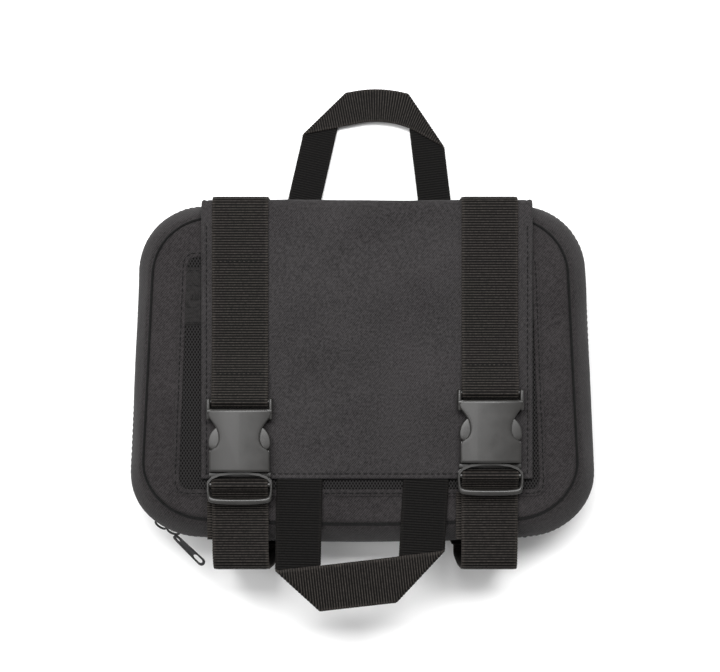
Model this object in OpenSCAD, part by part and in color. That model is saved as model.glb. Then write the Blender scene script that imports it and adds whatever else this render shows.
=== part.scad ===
// Hanging toiletry bag lying on its back: a zipped two-part soft case, a front flap held by two
// side-release buckles, a carrying handle on the front and a hanging handle at the top.
// +X is the bag's right, +Y points to the hanging handle and +Z comes out of the front.
// The origin is the centre of the flat back panel.

/* [Case] */
// Width of the case at the zip
case_w = 268; // [258:1:278]
// Height of the case at the zip
case_h = 194; // [188:1:200]
// Depth of the case from the back panel to the front panel
case_d = 75; // [73:1:80]
// Corner radius of the case at the zip
case_r = 38; // [34:1:42]
// Width of the front panel at its seam
front_w = 244; // [238:1:248]
// Height of the front panel at its seam
front_h = 172; // [168:1:174]
// Width of the back panel at its seam
back_w = 250; // [242:1:254]
// Height of the back panel at its seam
back_h = 180; // [174:1:182]
// How much each side leans in from the bottom corners to the top corners
side_lean = 5.2; // [4:0.2:7]
// Thickness of the padded fabric
wall = 2.5; // [2:0.5:3]
// Thickness of the bound seams round the front and back panels
seam_t = 1.8; // [1.4:0.1:2.2]

/* [Flap] */
// Width of the flap
flap_w = 185; // [176:1:190]
// Height from the top roll to the hem of the flap
flap_h = 151.5; // [146:0.5:154]
// Thickness of the flap
flap_t = 1.4; // [1:0.1:1.6]

/* [Straps and handles] */
// Width of the strap webbing
strap_w = 32; // [30:1:32]
// Thickness of the strap webbing
strap_t = 1.6; // [1.2:0.1:1.6]
// Distance from the middle of the bag to the left strap
strap_left = 68.2; // [64:0.2:70]
// Distance from the middle of the bag to the right strap
strap_right = 71; // [66:0.2:72]
// How far the lower straps stand below the case
strap_slack = 12; // [9:1:16]

/* [Buckles] */
// Width of a buckle over its horns
buckle_w = 36.6; // [36:0.1:38]
// Height of the left buckle's mouth below the middle of the bag
mouth_left = 53.5; // [52:0.5:56]
// Height of the right buckle's mouth below the middle of the bag
mouth_right = 48.5; // [47:0.5:54]

/* [Zip] */
// Length of the long zip pull
pull_len = 24; // [20:1:28]
// Width of the long zip pull
pull_w = 5.5; // [5:0.5:8]

/* [Hidden] */

$fn = 64;
hull_fn = 48;
eps = 0.01;
gap = 0.3;

// Zip levels: the two coils face each other across a thin parting line
zip_z = 38;
parting = 0.5;
coil_h = 1.5;
coil_depth = 2.6;
tape_h = 7;
tape_t = 1.2;
tape_inset = 0.6;
tape_w = case_w - 2 * tape_inset;
tape_h_out = case_h - 2 * tape_inset;
tape_r = case_r - tape_inset;
rear_tape_z = zip_z - parting - coil_h - tape_h;
front_tape_z = zip_z + parting + coil_h;
front_tape_top = front_tape_z + tape_h;

// Front and back outlines
front_c = [-1.2, 2];
front_r = 33;
back_r = 35;
front_z = case_d - wall;

// Wrap, the fabric that carries the flap and the straps over the top
wrap_t = 1.4;
wrap_in = case_h / 2 - 0.2;
wrap_out = wrap_in + wrap_t;
flap_cx = 2.5;
roll_r = 4.7;
roll_y = wrap_out - roll_r;
roll_z = case_d - 0.3;
roll_end = 60;
flap_z = roll_z + roll_r - flap_t;
flap_top = flap_z + flap_t;

// Strap centres
strap_x = [-strap_left, strap_right];
mouth_y = [-mouth_left, -mouth_right];

// Buckle, measured from the mouth towards the strap
bar_female = 38.8;
bar_male = -7.2;
bar_r = 1.7;
turn_in = 2;
turn_out = turn_in + strap_t;
female_z = flap_top + 0.6;
female_t = 10.4;
plate_t = 1.8;
female_bar_z = flap_top + turn_out;
male_bar_z = female_z + turn_out;
prong_z = female_z + plate_t + 0.5;
prong_t = female_t - 2 * plate_t - 1;

// Lower straps
front_run_z = 77;
bend_r = 5;
loop_y = -(case_h / 2 + strap_slack);
rear_run_z = 3.6;

// Zip corner at the lower left, where the two sliders meet
corner = [-(case_w / 2 - case_r), -(case_h / 2 - case_r)];
slider_upper_angle = 237;
slider_lower_angle = 249;

// ---------------------------------------------------------------- shared shapes

// A rounded outline whose sides lean in towards the top
module outline(w, h, r) {
    lean = atan(side_lean / (h - 2 * r));
    top_x = w / 2 - r - side_lean;
    low_x = w / 2 - r;
    cy = h / 2 - r;
    out = r * [cos(lean), sin(lean)];
    polygon([
        [-low_x, -cy - r], [low_x, -cy - r], [low_x + out[0], -cy + out[1]], [top_x + out[0], cy + out[1]],
        [top_x, cy + r], [-top_x, cy + r], [-top_x - out[0], cy + out[1]], [-low_x - out[0], -cy + out[1]]
    ]);
    for (sx = [-1, 1]) {
        translate([sx * low_x, -cy])
            circle(r);
        translate([sx * top_x, cy])
            circle(r);
    }
}

module plate(w, h, r, z0, z1) {
    translate([0, 0, z0])
        linear_extrude(z1 - z0)
            outline(w, h, r);
}

module band(w, h, r, t, z0, z1) {
    difference() {
        plate(w, h, r, z0, z1);
        plate(w - 2 * t, h - 2 * t, r - t, z0 - 1, z1 + 1);
    }
}

// A solid between two outlines, the second centred on c1
module taper(w0, h0, r0, c0, z0, w1, h1, r1, c1, z1) {
    hull() {
        translate([c0[0], c0[1], z0])
            linear_extrude(eps)
                outline(w0, h0, r0, $fn = hull_fn);
        translate([c1[0], c1[1], z1 - eps])
            linear_extrude(eps)
                outline(w1, h1, r1, $fn = hull_fn);
    }
}

// A box given by its low and high corners
module block(lo, hi) {
    translate(lo)
        cube(hi - lo);
}

// A ring segment around an axis along X, from angle a0 to a1 measured from +Y towards +Z
module roll(x0, x1, y, z, r0, r1, a0, a1) {
    translate([x0, y, z])
        rotate([90, 0, 90])
            rotate([0, 0, a0])
                rotate_extrude_x(x1 - x0, r0, r1, a1 - a0);
}

module rotate_extrude_x(len, r0, r1, sweep) {
    rotate_extrude(angle = sweep)
        translate([r0, 0])
            square([r1 - r0, len]);
}

// ---------------------------------------------------------------- rear half of the case

module back_panel() {
    color([0.2, 0.19, 0.19])
        plate(back_w - seam_t, back_h - seam_t, back_r - seam_t / 2, 0, wall);
}

// A side wall between a panel's seam and the zip tape
module gusset(seam_w, seam_h, seam_r, c, z_seam, z_tape) {
    up = z_tape > z_seam ? 1 : -1;
    difference() {
        if (up > 0)
            taper(seam_w, seam_h, seam_r, c, z_seam, tape_w, tape_h_out, tape_r, [0, 0], z_tape);
        else
            taper(tape_w, tape_h_out, tape_r, [0, 0], z_tape, seam_w, seam_h, seam_r, c, z_seam);
        if (up > 0)
            taper(seam_w - 2 * wall, seam_h - 2 * wall, seam_r - wall, c, z_seam - 0.1,
                tape_w - 2 * wall, tape_h_out - 2 * wall, tape_r - wall, [0, 0], z_tape + 0.1);
        else
            taper(tape_w - 2 * wall, tape_h_out - 2 * wall, tape_r - wall, [0, 0], z_tape - 0.1,
                seam_w - 2 * wall, seam_h - 2 * wall, seam_r - wall, c, z_seam + 0.1);
    }
}

module rear_gusset() {
    color([0.23, 0.22, 0.22])
        gusset(back_w + seam_t, back_h + seam_t, back_r + seam_t / 2, [0, 0], wall, rear_tape_z);
}

module rear_seam() {
    color([0.18, 0.17, 0.17])
        band(back_w + seam_t, back_h + seam_t, back_r + seam_t / 2, seam_t, 0, wall);
}

module rear_zip_tape() {
    color([0.16, 0.15, 0.15])
        band(tape_w, tape_h_out, tape_r, tape_t, rear_tape_z, rear_tape_z + tape_h);
}

// The coil runs round the sides and the bottom and stops at the wrap along the top
module coil(z0) {
    difference() {
        band(case_w, case_h, case_r, coil_depth, z0, z0 + coil_h);
        block([flap_cx - flap_w / 2, 0, z0 - 1], [flap_cx + flap_w / 2, case_h, z0 + coil_h + 1]);
    }
}

module rear_zip_coil() {
    color([0.12, 0.12, 0.12])
        coil(zip_z - parting - coil_h);
}

module rear_mesh_pocket() {
    pocket_x = 104;
    pocket_low = -76;
    pocket_high = -8;
    color([0.13, 0.13, 0.13])
        difference() {
            block([-pocket_x, pocket_low, wall], [pocket_x, pocket_high, wall + 3.6]);
            block([-pocket_x + 2, pocket_low + 2, wall - 1], [pocket_x - 2, pocket_high + 1, wall + 2.8]);
        }
}

module elastic_loops() {
    loop_r = 15;
    loops = 5;
    pitch = 40;
    low = 22;
    high = 44;
    color([0.1, 0.1, 0.1])
        difference() {
            union() {
                for (k = [0:loops - 1])
                    translate([(k - (loops - 1) / 2) * pitch, high, wall])
                        rotate([90, 0, 0])
                            cylinder(r = loop_r, h = high - low);
                block([-pitch * loops / 2, low, wall], [pitch * loops / 2, high, wall + 1.4]);
            }
            for (k = [0:loops - 1])
                translate([(k - (loops - 1) / 2) * pitch, high + 1, wall])
                    rotate([90, 0, 0])
                        cylinder(r = loop_r - 1.4, h = high - low + 2);
            block([-pitch * loops, low - 1, wall - 20], [pitch * loops, high + 1, wall]);
        }
}

module top_wrap_rear() {
    color([0.25, 0.24, 0.24])
        block([flap_cx - flap_w / 2, wrap_in, wall + 1.5], [flap_cx + flap_w / 2, wrap_out, zip_z - 0.8]);
}

// The base wrap stops below the coil, which runs past it along the bottom
module base_wrap() {
    x0 = flap_cx - flap_w / 2 + 1;
    color([0.25, 0.24, 0.24])
        block([x0, -wrap_out, wall + 1.5], [x0 + flap_w, -wrap_in, rear_tape_z + tape_h - gap]);
}

module strap_end(side) {
    color([0.17, 0.17, 0.15])
        block([strap_x[side] - strap_w / 2, wrap_out, 4], [strap_x[side] + strap_w / 2, wrap_out + strap_t, 35.5]);
}

module strap_end_left() { strap_end(0); }
module strap_end_right() { strap_end(1); }

module strap_patch(side) {
    patch_w = strap_w + 6;
    color([0.2, 0.2, 0.18])
        block([strap_x[side] - patch_w / 2, -wrap_out - 1.2, 4], [strap_x[side] + patch_w / 2, -wrap_out, 35.5]);
}

module strap_patch_left() { strap_patch(0); }
module strap_patch_right() { strap_patch(1); }

// Front run, turn, run down past the bottom of the case, turn and run back to the rear seam
module lower_strap(side) {
    x0 = strap_x[side] - strap_w / 2;
    x1 = strap_x[side] + strap_w / 2;
    y_turn = loop_y + bend_r;
    z_turn_top = front_run_z + strap_t - bend_r;
    z_turn_low = rear_run_z + bend_r;
    color([0.17, 0.17, 0.15])
        union() {
            block([x0, y_turn, front_run_z], [x1, mouth_y[side] - 21, front_run_z + strap_t]);
            roll(x0, x1, y_turn, z_turn_top, bend_r - strap_t, bend_r, 90, 180);
            block([x0, loop_y, z_turn_low], [x1, loop_y + strap_t, z_turn_top]);
            roll(x0, x1, y_turn, z_turn_low, bend_r - strap_t, bend_r, 180, 270);
            block([x0, y_turn, rear_run_z], [x1, -wrap_out - 1.2, rear_run_z + strap_t]);
        }
}

module lower_strap_left() { lower_strap(0); }
module lower_strap_right() { lower_strap(1); }

// ---------------------------------------------------------------- front half of the case

module front_panel() {
    color([0.24, 0.23, 0.23])
        translate([front_c[0], front_c[1], 0])
            plate(front_w - seam_t, front_h - seam_t, front_r - seam_t / 2, front_z, case_d);
}

module front_gusset() {
    color([0.23, 0.22, 0.22])
        gusset(front_w + seam_t, front_h + seam_t, front_r + seam_t / 2, front_c, front_z, front_tape_top);
}

module front_seam() {
    color([0.27, 0.26, 0.26])
        translate([front_c[0], front_c[1], 0])
            band(front_w + seam_t, front_h + seam_t, front_r + seam_t / 2, seam_t, front_z, case_d);
}

module front_zip_tape() {
    color([0.16, 0.15, 0.15])
        band(tape_w, tape_h_out, tape_r, tape_t, front_tape_z, front_tape_top);
}

module front_zip_coil() {
    color([0.12, 0.12, 0.12])
        coil(zip_z + parting);
}

// Front pocket: a bound frame with mesh above and below a zipped band
pocket_l = -107;
pocket_r = 103.5;
pocket_b = -68;
pocket_t = 70;
band_low = 28;
band_high = 60;
bind = 4;

// A panel between two heights whose sides lean in like the pocket's, m inside its edge
module pocket_panel(m, y0, y1, z0, z1) {
    in0 = m + side_lean * (y0 - pocket_b) / (pocket_t - pocket_b);
    in1 = m + side_lean * (y1 - pocket_b) / (pocket_t - pocket_b);
    translate([0, 0, z0])
        linear_extrude(z1 - z0)
            polygon([[pocket_l + in0, y0], [pocket_r - in0, y0], [pocket_r - in1, y1], [pocket_l + in1, y1]]);
}

module pocket_frame() {
    color([0.2, 0.19, 0.19])
        difference() {
            pocket_panel(0, pocket_b, pocket_t, case_d, case_d + 1.2);
            pocket_panel(bind, pocket_b + bind, pocket_t - bind, case_d - 1, case_d + 2);
        }
}

module pocket_mesh_upper() {
    color([0.1, 0.1, 0.1])
        pocket_panel(bind, band_high, pocket_t - bind, case_d, case_d + 0.6);
}

module pocket_mesh_lower() {
    color([0.1, 0.1, 0.1])
        pocket_panel(bind, pocket_b + bind, band_low, case_d, case_d + 0.6);
}

module pocket_zip() {
    color([0.15, 0.15, 0.15])
        pocket_panel(bind, band_low, band_high, case_d, case_d + 0.9);
}

module pocket_slider() {
    slide_x = -86;
    slide_y = (band_low + band_high) / 2;
    color([0.35, 0.35, 0.36])
        union() {
            block([slide_x, slide_y - 3, case_d + 1.2], [slide_x + 8, slide_y + 3, case_d + 2]);
            difference() {
                block([slide_x + 6, slide_y - 2.2, case_d + 1.2], [slide_x + 22, slide_y + 2.2, case_d + 1.9]);
                translate([slide_x + 19, slide_y, case_d])
                    cylinder(r = 1.2, h = 4);
            }
        }
}

module lid_mesh_pocket() {
    pocket_x = 96;
    low = -66;
    high = 12;
    color([0.13, 0.13, 0.13])
        difference() {
            block([-pocket_x, low, front_z - 3.6], [pocket_x, high, front_z]);
            block([-pocket_x + 2, low + 2, front_z - 2.8], [pocket_x - 2, high + 1, front_z + 1]);
        }
}

// Front handle legs, left edge and right edge of each
leg_l = [-45.3, -20.2];
leg_r = [21.3, 47.1];
front_handle_z = 76.3;
front_handle_t = 1.5;
front_pivot_y = -60;

module front_handle_anchor() {
    color([0.17, 0.17, 0.15])
        for (leg = [leg_l, leg_r])
            block([leg[0], -58.6, front_handle_z], [leg[1], -40, front_handle_z + front_handle_t]);
}

module top_wrap_front() {
    x0 = flap_cx - flap_w / 2;
    color([0.27, 0.26, 0.26])
        union() {
            block([x0, wrap_in, zip_z + 0.8], [x0 + flap_w, wrap_out, roll_z]);
            roll(x0, x0 + flap_w, roll_y, roll_z, roll_r - wrap_t, roll_r, 0, roll_end);
        }
}

module strap_top(side) {
    x0 = strap_x[side] - strap_w / 2;
    color([0.17, 0.17, 0.15])
        union() {
            block([x0, wrap_out, zip_z + 2.5], [x0 + strap_w, wrap_out + strap_t, roll_z]);
            roll(x0, x0 + strap_w, roll_y, roll_z, roll_r, roll_r + strap_t, 0, roll_end - 10);
        }
}

module strap_top_left() { strap_top(0); }
module strap_top_right() { strap_top(1); }

// ---------------------------------------------------------------- flap

flap_edge_y = roll_y;
hem_y = flap_edge_y - flap_h;

module flap_panel() {
    x0 = flap_cx - flap_w / 2;
    color([0.28, 0.27, 0.27])
        union() {
            block([x0, hem_y, flap_z], [x0 + flap_w, flap_edge_y, flap_top]);
            translate([x0, flap_edge_y, flap_z + flap_t / 2])
                rotate([0, 90, 0])
                    cylinder(r = flap_t / 2, h = flap_w);
        }
}

// The strap ends in a turn round the buckle's bar
module upper_strap(side) {
    x0 = strap_x[side] - strap_w / 2;
    bar_y = mouth_y[side] + bar_female;
    color([0.17, 0.17, 0.15])
        difference() {
            union() {
                block([x0, bar_y, flap_top], [x0 + strap_w, flap_edge_y - 5, flap_top + strap_t]);
                translate([x0, bar_y, female_bar_z])
                    rotate([0, 90, 0])
                        cylinder(r = turn_out, h = strap_w);
            }
            translate([x0 - 1, bar_y, female_bar_z])
                rotate([0, 90, 0])
                    cylinder(r = turn_in, h = strap_w + 2);
        }
}

module upper_strap_left() { upper_strap(0); }
module upper_strap_right() { upper_strap(1); }

// ---------------------------------------------------------------- buckles

mouth_len = 12;
neck_end = 28;
block_end = 34.9;
horn_end = 40.8;
mouth_half = 16.8;
neck_half = 11.2;
side_wall = 1.6;
horn_in = strap_w / 2 + 0.3;

module female_outline() {
    polygon([
        [-mouth_half, 0], [mouth_half, 0], [mouth_half, mouth_len], [neck_half + 1.6, mouth_len + 2],
        [neck_half, mouth_len + 5], [neck_half, neck_end - 6], [neck_half + 3.4, neck_end],
        [buckle_w / 2, neck_end + 4], [buckle_w / 2, block_end],
        [-buckle_w / 2, block_end], [-buckle_w / 2, neck_end + 4], [-neck_half - 3.4, neck_end],
        [-neck_half, neck_end - 6], [-neck_half, mouth_len + 5], [-neck_half - 1.6, mouth_len + 2],
        [-mouth_half, mouth_len]
    ]);
}

module buckle_female(side) {
    top_z = female_z + female_t;
    color([0.4, 0.4, 0.41])
        translate([strap_x[side], mouth_y[side], 0])
            union() {
                for (z = [female_z, top_z - plate_t])
                    translate([0, 0, z])
                        linear_extrude(plate_t)
                            female_outline();
                for (s = [-1, 1]) {
                    block([s > 0 ? mouth_half - side_wall : -mouth_half, 0, female_z],
                        [s > 0 ? mouth_half : -mouth_half + side_wall, mouth_len, top_z]);
                    block([s > 0 ? horn_in : -buckle_w / 2, neck_end + 1, female_z],
                        [s > 0 ? buckle_w / 2 : -horn_in, horn_end, top_z - 2.4]);
                }
                block([-buckle_w / 2, block_end - 2, female_z], [buckle_w / 2, block_end, top_z]);
                translate([-buckle_w / 2, bar_female, female_bar_z])
                    rotate([0, 90, 0])
                        cylinder(r = bar_r, h = buckle_w);
            }
}

module buckle_female_left() { buckle_female(0); }
module buckle_female_right() { buckle_female(1); }

// Male half: shoulder, rails, middle bar for the webbing, end bar and the guide tongue
rail_end = -17.5;
rail_in = strap_w / 2 + 0.3;
rail_out = 18.2;
male_z = female_z + 0.8;
male_t = 7;

module buckle_male(side) {
    color([0.36, 0.36, 0.37])
        translate([strap_x[side], mouth_y[side], 0])
            union() {
                block([-rail_out, -3.2, male_z], [rail_out, -gap, male_z + male_t]);
                for (s = [-1, 1])
                    block([s > 0 ? rail_in : -rail_out, rail_end, male_z + 0.6],
                        [s > 0 ? rail_out : -rail_in, -3, male_z + male_t - 0.6]);
                block([-rail_out, rail_end, male_z + 1.6], [rail_out, rail_end + 3, male_z + male_t - 1]);
                translate([-rail_in - 0.5, bar_male, male_bar_z])
                    rotate([0, 90, 0])
                        cylinder(r = bar_r, h = 2 * rail_in + 1);
                block([-2, -1, prong_z + 1], [2, 22, prong_z + prong_t - 1]);
            }
}

module buckle_male_left() { buckle_male(0); }
module buckle_male_right() { buckle_male(1); }

module male_webbing(side) {
    color([0.17, 0.17, 0.15])
        translate([strap_x[side] - strap_w / 2, mouth_y[side] + bar_male, male_bar_z])
            difference() {
                union() {
                    rotate([0, 90, 0])
                        cylinder(r = turn_out, h = strap_w);
                    block([0, -12.5, -turn_out], [strap_w, 0, -turn_in]);
                }
                translate([-1, 0, 0])
                    rotate([0, 90, 0])
                        cylinder(r = turn_in, h = strap_w + 2);
            }
}

module male_webbing_left() { male_webbing(0); }
module male_webbing_right() { male_webbing(1); }

// Spring arm with its squeeze button; it turns about its root near the mouth
prong_in = 6.6;
prong_out = 9;

module prong(side, hand) {
    color([0.42, 0.42, 0.43])
        translate([strap_x[side], mouth_y[side], prong_z])
            mirror([hand > 0 ? 0 : 1, 0, 0])
                linear_extrude(prong_t)
                    polygon([
                        [prong_in, gap], [prong_out, gap], [prong_out + 1.2, mouth_len - 1],
                        [mouth_half - 0.6, mouth_len + 0.5], [mouth_half + 0.4, mouth_len + 4],
                        [mouth_half - 0.6, neck_end - 6.5], [prong_out + 2, neck_end - 2.6],
                        [prong_in + 1, neck_end - 3], [prong_in, mouth_len]
                    ]);
}

module prong_left_outer() { prong(0, -1); }
module prong_left_inner() { prong(0, 1); }
module prong_right_outer() { prong(1, 1); }
module prong_right_inner() { prong(1, -1); }

// ---------------------------------------------------------------- handles

top_handle_z = 2.4;
top_handle_t = 1.6;
top_pivot_y = 104;
top_legs = [[-45.2, -26.2], [34.1, 53.6]];

module top_handle_anchor() {
    color([0.15, 0.15, 0.14])
        for (leg = top_legs)
            block([leg[0], wrap_out, top_handle_z + 1.6], [leg[1], 101.9, top_handle_z + 3.2]);
}

// Webbing legs with the grip folded across in front of them
module top_handle() {
    color([0.17, 0.17, 0.15])
        union() {
            translate([0, 0, top_handle_z])
                linear_extrude(top_handle_t + eps) {
                    polygon([[-45.2, top_pivot_y], [-26.2, top_pivot_y], [-17.5, 146.2], [-10, 165.7], [-34.3, 142.4]]);
                    polygon([[34.1, top_pivot_y], [53.6, top_pivot_y], [48.1, 135.2], [28.5, 162.5], [30.9, 146.8]]);
                }
            translate([0, 0, top_handle_z + top_handle_t])
                linear_extrude(top_handle_t)
                    polygon([[-34.3, 142.4], [-17.5, 146.2], [-4, 149.8], [10.9, 151.2], [21, 150.4], [30.9, 146.8],
                        [48.1, 135.2], [28.5, 162.5], [16, 169], [2.8, 170.9], [-4, 169.6], [-10, 165.7]]);
        }
}

module front_handle() {
    color([0.18, 0.18, 0.16])
        union() {
            translate([0, 0, front_handle_z])
                linear_extrude(front_handle_t + eps) {
                    polygon([[-45.3, front_pivot_y - 1.5], [-20.2, front_pivot_y - 1.5], [-21.4, -105.6],
                        [-23.3, -132.5], [-46.5, -108.2]]);
                    polygon([[21.3, front_pivot_y - 1.5], [47.1, front_pivot_y - 1.5], [44.4, -98.4],
                        [16.4, -127.6], [19.4, -101.1]]);
                }
            translate([0, 0, front_handle_z + front_handle_t])
                linear_extrude(front_handle_t)
                    polygon([[-46.5, -108.2], [-21.4, -105.6], [19.4, -101.1], [44.4, -98.4],
                        [16.4, -127.6], [-23.3, -132.5]]);
        }
}

// ---------------------------------------------------------------- zip sliders

// Flat oval of the bail, long along the zip
bail_out = 2.3;
bail_half = 1.6;

module bail_oval(r) {
    translate([-r, -bail_half])
        square([2 * r, 2 * bail_half]);
    for (sy = [-1, 1])
        translate([0, bail_half * sy])
            circle(r);
}

// Body over the coil: outer plate, inner plate and the web between them, with a bail outside
module slider(angle) {
    coil_out = case_r;
    coil_in = case_r - coil_depth;
    translate([corner[0], corner[1], zip_z])
        rotate([0, 0, angle])
            union() {
                block([coil_out + 0.4, -3.6, -4.2], [coil_out + 1.4, 3.6, 4.2]);
                block([coil_in - 1.6, -3, -4.2], [coil_in - 0.4, 3, 4.2]);
                block([coil_in - 0.6, -2.5, -0.25], [coil_out + 0.7, 2.5, 0.25]);
                translate([coil_out + bail_out, 0, -0.7])
                    linear_extrude(1.4)
                        difference() {
                            bail_oval(1.9);
                            bail_oval(0.9);
                        }
            }
}

module zip_slider_upper() {
    color([0.2, 0.2, 0.2])
        slider(slider_upper_angle);
}

module zip_slider_lower() {
    color([0.2, 0.2, 0.2])
        slider(slider_lower_angle);
}

// Flat pull with a slot at the bail and an oval hole near its tip
pull_angle = -44;
pull_roll = 35;
pull_t = 1.2;
pull_hole_r = 1.6;
pull_start = corner + (case_r + 5.2) * [cos(slider_lower_angle), sin(slider_lower_angle)];

module zip_pull_long() {
    color([0.16, 0.16, 0.16])
        translate([pull_start[0], pull_start[1], zip_z])
            rotate([0, 0, pull_angle])
                rotate([pull_roll, 0, 0])
                    difference() {
                        linear_extrude(pull_t, center = true)
                            union() {
                                translate([pull_w / 2, 0])
                                    circle(pull_w / 2 - 1.2);
                                polygon([[pull_w / 2, -pull_w / 2 + 1.2], [pull_len - pull_w / 2, -pull_w / 2],
                                    [pull_len - pull_w / 2, pull_w / 2], [pull_w / 2, pull_w / 2 - 1.2]]);
                                translate([pull_len - pull_w / 2, 0])
                                    circle(pull_w / 2);
                            }
                        for (x = [pull_len - 7.5, pull_len - 4.5])
                            translate([x, 0, -pull_t])
                                cylinder(r = pull_hole_r, h = 2 * pull_t);
                        block([pull_len - 7.5, -pull_hole_r, -pull_t], [pull_len - 4.5, pull_hole_r, pull_t]);
                    }
}

// ---------------------------------------------------------------- parts

back_panel();
rear_gusset();
rear_seam();
rear_zip_tape();
rear_zip_coil();
rear_mesh_pocket();
elastic_loops();
top_wrap_rear();
base_wrap();
top_handle_anchor();
strap_end_left();
strap_end_right();
strap_patch_left();
strap_patch_right();
lower_strap_left();
lower_strap_right();
front_panel();
front_gusset();
front_seam();
front_zip_tape();
front_zip_coil();
pocket_frame();
pocket_mesh_upper();
pocket_mesh_lower();
pocket_zip();
pocket_slider();
lid_mesh_pocket();
front_handle_anchor();
top_wrap_front();
strap_top_left();
strap_top_right();
flap_panel();
upper_strap_left();
upper_strap_right();
buckle_female_left();
buckle_female_right();
top_handle();
front_handle();
buckle_male_left();
buckle_male_right();
male_webbing_left();
male_webbing_right();
prong_left_outer();
prong_left_inner();
prong_right_outer();
prong_right_inner();
zip_slider_upper();
zip_slider_lower();
zip_pull_long();
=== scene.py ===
import math

import bmesh
import bpy
import numpy as np
from mathutils import Matrix, Vector, noise


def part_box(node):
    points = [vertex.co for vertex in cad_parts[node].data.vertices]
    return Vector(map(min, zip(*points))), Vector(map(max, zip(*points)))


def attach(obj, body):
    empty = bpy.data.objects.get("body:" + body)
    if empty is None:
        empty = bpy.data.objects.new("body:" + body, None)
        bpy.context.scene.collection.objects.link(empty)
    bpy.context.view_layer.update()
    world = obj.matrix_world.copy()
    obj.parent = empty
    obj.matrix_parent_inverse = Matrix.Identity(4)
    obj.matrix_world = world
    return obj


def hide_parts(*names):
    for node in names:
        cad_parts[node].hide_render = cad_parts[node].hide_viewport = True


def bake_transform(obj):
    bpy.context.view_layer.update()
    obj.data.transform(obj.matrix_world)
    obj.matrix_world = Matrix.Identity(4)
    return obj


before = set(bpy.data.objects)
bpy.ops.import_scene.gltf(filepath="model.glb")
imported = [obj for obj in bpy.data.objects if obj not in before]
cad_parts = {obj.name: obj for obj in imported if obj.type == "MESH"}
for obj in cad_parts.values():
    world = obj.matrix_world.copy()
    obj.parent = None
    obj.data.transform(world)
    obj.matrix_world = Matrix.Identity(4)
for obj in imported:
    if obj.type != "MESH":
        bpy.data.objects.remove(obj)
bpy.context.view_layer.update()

# All sizes below are in millimetres; meshes are written in metres.
MM = 0.001


def node_box(name):
    low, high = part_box(name)
    return np.array(low) / MM, np.array(high) / MM


# -------- places taken from the frame

REAR_SEAM, FRONT_SEAM = node_box("rear_seam"), node_box("front_seam")
ZIP_LOW, ZIP_HIGH = node_box("rear_zip_coil"), node_box("front_zip_coil")
FLAP_LOW, FLAP_HIGH = node_box("flap_panel")
WRAP_LOW, WRAP_HIGH = node_box("top_wrap_front")
BASE_LOW, BASE_HIGH = node_box("base_wrap")
CASE_W, CASE_H = ZIP_HIGH[1][0] * 2, ZIP_HIGH[1][1] * 2
# Corner radius of the case, how far its sides lean in towards the top, and how far its bottom corners rise
CASE_R, LEAN, BOW = 38.0, 5.2, 5.5
ZIP_Z = (ZIP_LOW[1][2] + ZIP_HIGH[0][2]) / 2
FRONT_Z = node_box("front_panel")[1][2]
BACK_T = node_box("back_panel")[1][2]
FRONT_MID = (FRONT_SEAM[0] + FRONT_SEAM[1]) / 2
HEM_Y = FLAP_LOW[1]
# Middle and radius of the turn that takes the flap over the top edge, and where the cloth behind it is split
ROLL_Y = FLAP_HIGH[1] - 0.7
ROLL_R = WRAP_HIGH[1] - ROLL_Y
ROLL_Z = FLAP_HIGH[2] - ROLL_R
WRAP_OUT = WRAP_HIGH[1]
SPLIT_Z = 56.0
SIDES = ("left", "right")
STRAP_X = [float(sum(node_box("upper_strap_" + s)[k][0] for k in (0, 1)) / 2) for s in SIDES]
STRAP_W, STRAP_T = 31.4, 1.5
MOUTH_Y = [float(node_box("buckle_female_" + s)[0][1]) for s in SIDES]
BUCKLE_Z = [float(corner[2]) for corner in node_box("buckle_female_left")]
LOOP_Y = float(node_box("lower_strap_left")[0][1])
# Cross bars of the buckle halves: how far they are from the female half's mouth, and their radius
BAR_FEMALE, BAR_MALE, BAR_R = 38.8, -7.2, 1.7
# Pitch of the webbing's ribs, and the spacing of its cross sections
RIB = 1.46
RIB_STEP = RIB / 4
# Start and end of the zones where cloth and webbing cross between two bodies
LID_TO_FLAP = (0, 98.5, 74), (0, 88, 80)
CASE_TO_LID = (0, 97, 33), (0, 97, 43)


# -------- materials

def shader(name, colour, rough, metallic=0.0, specular=0.4, sheen=0.0, coat=0.0):
    """A material, with its node tree, its shader node and its texture coordinates."""
    mat = bpy.data.materials.new(name)
    mat.use_nodes = True
    tree = mat.node_tree
    bsdf = tree.nodes["Principled BSDF"]
    bsdf.inputs["Base Color"].default_value = (*colour, 1)
    for socket, value in (("Roughness", rough), ("Metallic", metallic), ("Specular IOR Level", specular),
                          ("Sheen Weight", sheen), ("Sheen Roughness", 0.5), ("Coat Weight", coat)):
        bsdf.inputs[socket].default_value = value
    return mat, tree, bsdf, tree.nodes.new("ShaderNodeTexCoord")


def link(tree, a, a_out, b, b_in):
    tree.links.new(a.outputs[a_out], b.inputs[b_in])


def math_node(tree, operation, *values):
    """A math node whose inputs are numbers or pairs of a node and its output."""
    node = tree.nodes.new("ShaderNodeMath")
    node.operation = operation
    for k, value in enumerate(values):
        if isinstance(value, tuple):
            link(tree, *value, node, k)
        else:
            node.inputs[k].default_value = value
    return node


def bands(tree, coords, period, turn=0):
    """Sine bands across X with a period in millimetres, turned about Z by some degrees."""
    mapping = tree.nodes.new("ShaderNodeMapping")
    mapping.inputs["Rotation"].default_value = (0, 0, math.radians(turn))
    link(tree, coords, "Object", mapping, "Vector")
    wave = tree.nodes.new("ShaderNodeTexWave")
    wave.bands_direction = "X"
    wave.inputs["Scale"].default_value = math.pi / (10 * period * MM)
    wave.inputs["Distortion"].default_value = 0
    link(tree, mapping, "Vector", wave, "Vector")
    return wave


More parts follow.
